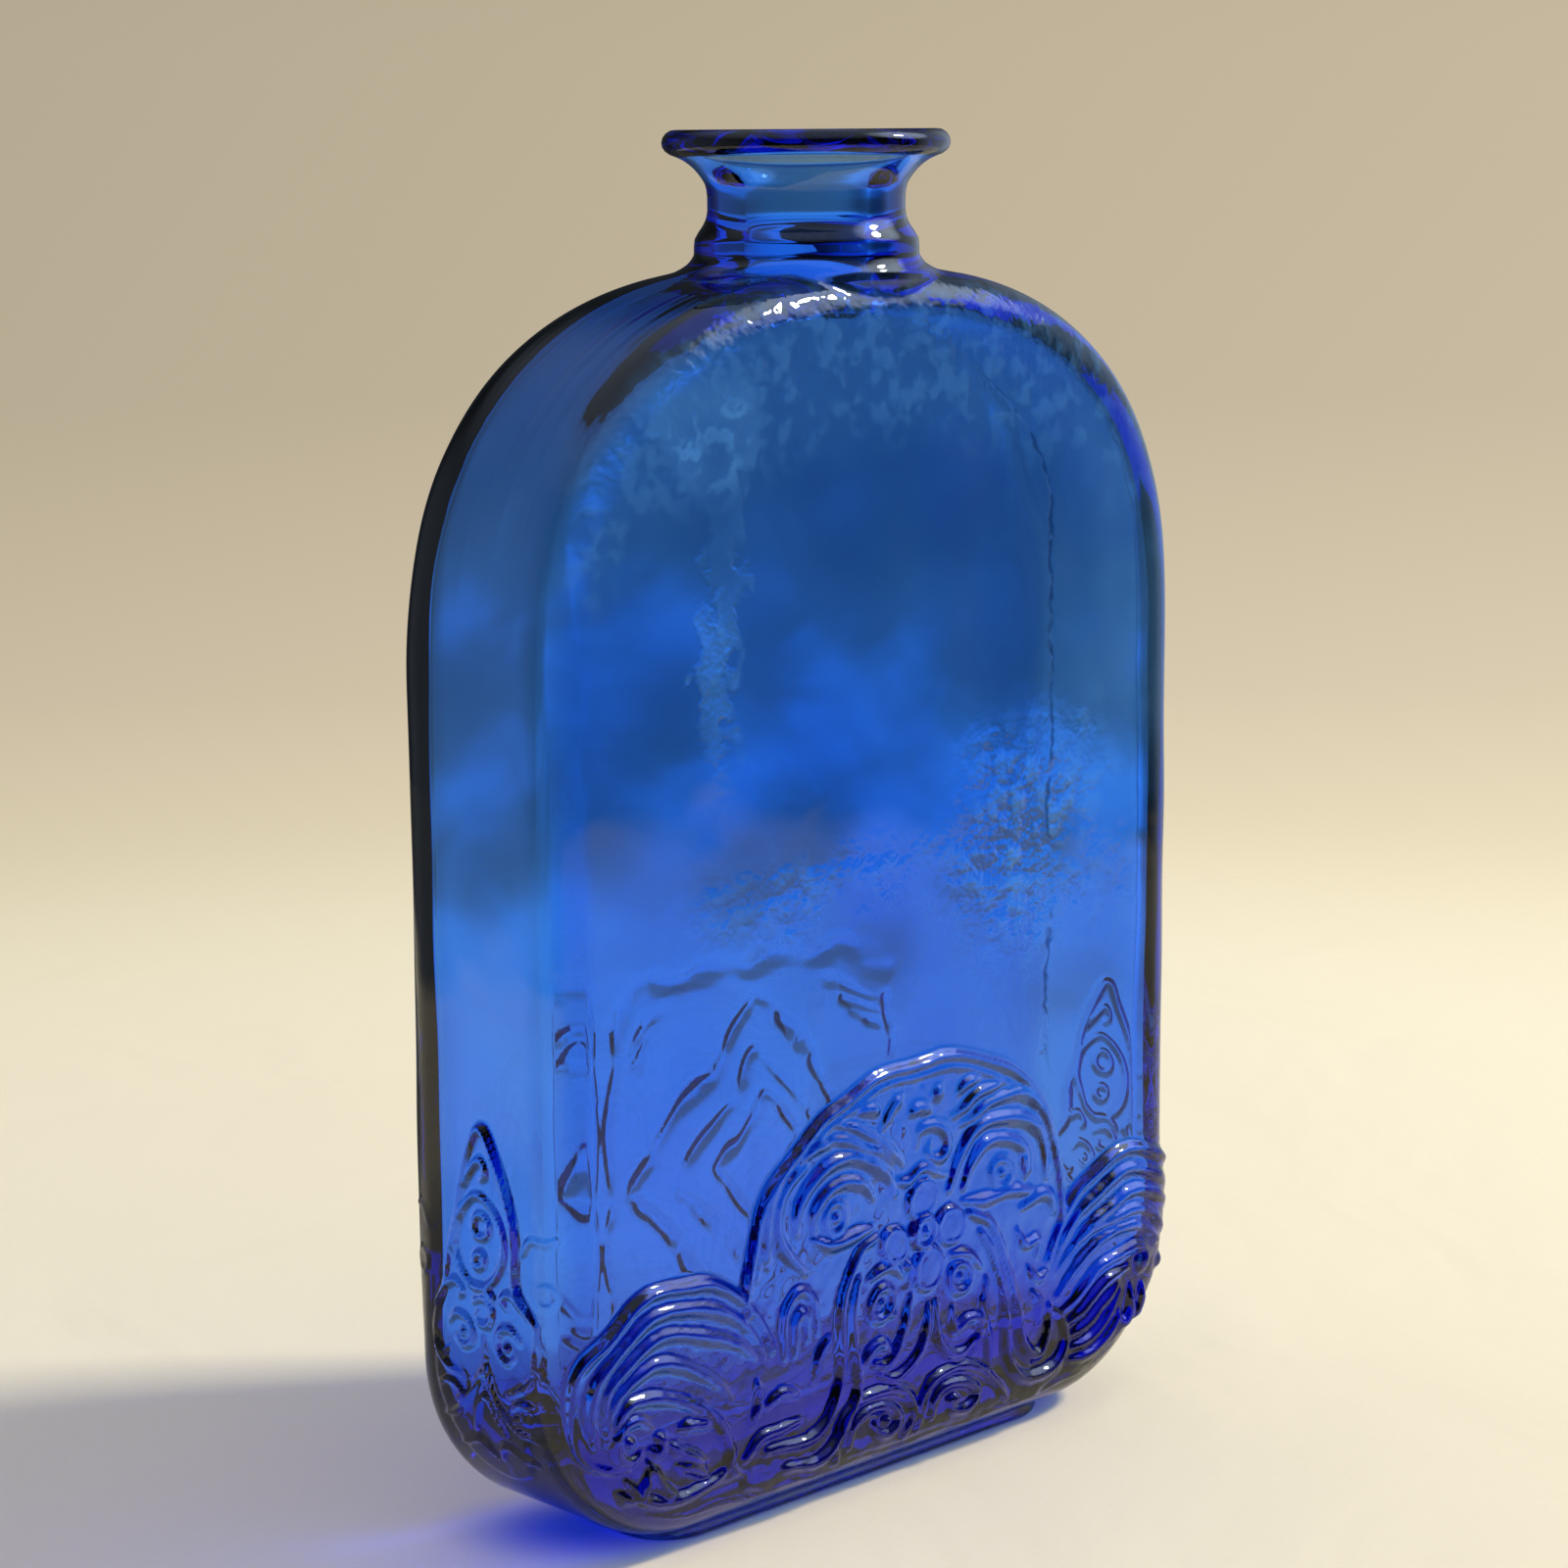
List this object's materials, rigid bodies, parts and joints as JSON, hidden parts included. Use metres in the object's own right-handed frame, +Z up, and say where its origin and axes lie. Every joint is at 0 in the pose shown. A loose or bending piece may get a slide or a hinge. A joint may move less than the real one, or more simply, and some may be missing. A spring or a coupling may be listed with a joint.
{
  "type": "embossed glass bottle",
  "caption": "Flat cobalt blue glass bottle with arched shoulders, a short flared neck with a beaded lip, and raised scrollwork round its lower body; open at the mouth.",
  "frame": {"origin": "middle of the foot's underside, where the bottle stands", "axes": "+Z up through the neck, -Y out of the front face with the arched ornament, +X towards the right narrow side as seen from the front"},
  "size_m": [0.131, 0.0408, 0.1959],
  "materials": {
    "glass_body": "gloss",
    "glass_relief": "gloss",
    "glass_lip": "gloss"
  },
  "bodies": {
    "root": {"back_frame": "glass_relief", "back_lozenge_1": "glass_relief", "back_lozenge_2": "glass_relief", "back_lozenge_3": "glass_relief", "foot_rim": "glass_body", "front_arch_rim": "glass_relief", "front_double_scroll_left": "glass_relief", "front_double_scroll_right": "glass_relief", "front_foot_curl_left": "glass_relief", "front_foot_curl_right": "glass_relief", "front_foot_scroll_left": "glass_relief", "front_foot_scroll_right": "glass_relief", "front_plume_1": "glass_relief", "front_plume_2": "glass_relief", "front_plume_3": "glass_relief", "front_plume_4": "glass_relief", "front_plume_5": "glass_relief", "front_rosette": "glass_relief", "front_rosette_button": "glass_relief", "front_shell_left": "glass_relief", "front_shell_right": "glass_relief", "front_stem_left": "glass_relief", "front_stem_right": "glass_relief", "front_tendril_left": "glass_relief", "front_tendril_right": "glass_relief", "front_volute_left": "glass_relief", "front_volute_right": "glass_relief", "front_wave_left_1": "glass_relief", "front_wave_left_2": "glass_relief", "front_wave_left_3": "glass_relief", "front_wave_left_4": "glass_relief", "front_wave_right_1": "glass_relief", "front_wave_right_2": "glass_relief", "front_wave_right_3": "glass_relief", "front_wave_right_4": "glass_relief", "glass_vessel": "glass_body", "left_chevron": "glass_relief", "left_oval_rim": "glass_relief", "left_seed": "glass_relief", "left_spire_rim": "glass_relief", "left_volute_left": "glass_relief", "left_volute_right": "glass_relief", "lip_ring": "glass_lip", "neck": "glass_body", "neck_throat": "glass_body", "right_chevron": "glass_relief", "right_oval_rim": "glass_relief", "right_seed": "glass_relief", "right_spire_rim": "glass_relief", "right_volute_left": "glass_relief", "right_volute_right": "glass_relief"}
  },
  "joints": []
}
